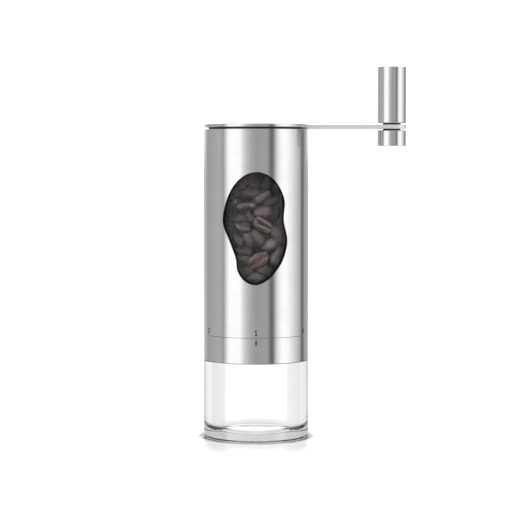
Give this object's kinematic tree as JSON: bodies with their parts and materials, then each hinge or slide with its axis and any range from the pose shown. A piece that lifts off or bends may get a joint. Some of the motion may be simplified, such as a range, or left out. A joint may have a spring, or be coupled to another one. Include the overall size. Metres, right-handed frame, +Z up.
{
  "type": "hand crank coffee grinder",
  "caption": "Cylindrical hand coffee grinder with a side window to its bean hopper, a numbered grind ring, a clear grounds cup, and a lift-off lid whose crank arm has a spinning knob.",
  "frame": {"origin": "centre of the underside of the clear grounds cup, on the surface the grinder stands on", "axes": "+Z up along the body's axis; the hopper window faces -Y; the crank arm points along +X"},
  "size_m": [0.112, 0.058, 0.2047],
  "materials": {
    "brushed_steel": "brushed",
    "plain_steel": "turned",
    "black_plastic": "fine matt",
    "clear_plastic": "clear polished",
    "smoky_plastic": "smoky polished",
    "seal_rubber": "smooth",
    "ceramic": "fired",
    "bronze": "sintered"
  },
  "bodies": {
    "cup": {"grounds_cup": "clear_plastic", "cup_seal": "seal_rubber"},
    "housing": {"burr_housing": "black_plastic", "outer_sleeve": "brushed_steel", "sleeve_liner": "black_plastic", "window_pane": "smoky_plastic", "hopper_tube": "smoky_plastic", "upper_bearing_bridge": "black_plastic", "upper_bush": "bronze", "lower_bearing_bridge": "black_plastic", "lower_bush": "bronze", "bridge_screws": "plain_steel", "ring_retainer": "plain_steel"},
    "grind_ring": {"adjust_ring": "brushed_steel", "adjust_ring_insert": "black_plastic"},
    "carrier": {"burr_carrier": "black_plastic", "ring_burr": "ceramic", "ring_burr_screws": "plain_steel"},
    "drive": {"drive_shaft": "plain_steel", "cone_burr": "ceramic", "burr_washer": "plain_steel", "burr_nut": "plain_steel", "thrust_spring": "plain_steel", "spring_washers": "plain_steel", "shaft_circlip": "plain_steel"},
    "crank": {"lid_cap": "brushed_steel", "lid_plug": "black_plastic", "drive_socket": "plain_steel", "lid_screws": "plain_steel", "crank_arm": "brushed_steel", "knob_bushes": "black_plastic"},
    "knob": {"knob_axle": "plain_steel", "knob_grip": "brushed_steel", "knob_cap": "brushed_steel"}
  },
  "joints": [
    {"name": "mill_lift", "type": "slide", "parent": "cup", "child": "housing", "axis": [0, 0, 1], "range_m": [0, 0.05]},
    {"name": "adjust_turn", "type": "hinge", "parent": "housing", "child": "grind_ring", "pos_m": [0, 0, 0.0498], "axis": [0, 0, 1], "range_deg": [0, 300]},
    {"name": "burr_slide", "type": "slide", "parent": "housing", "child": "carrier", "axis": [0, 0, 1], "range_m": [0, 0.0012]},
    {"name": "crank_spin", "type": "hinge", "parent": "housing", "child": "drive", "pos_m": [0, 0, 0.11], "axis": [0, 0, 1], "continuous": true},
    {"name": "crank_lift", "type": "slide", "parent": "drive", "child": "crank", "axis": [0, 0, 1], "range_m": [0, 0.04]},
    {"name": "knob_spin", "type": "hinge", "parent": "crank", "child": "knob", "pos_m": [0.075, 0, 0.18], "axis": [0, 0, 1], "continuous": true}
  ],
  "couplings": [
    {"joint": "burr_slide", "follows": "adjust_turn", "m_per_rad": 0.00022918}
  ]
}
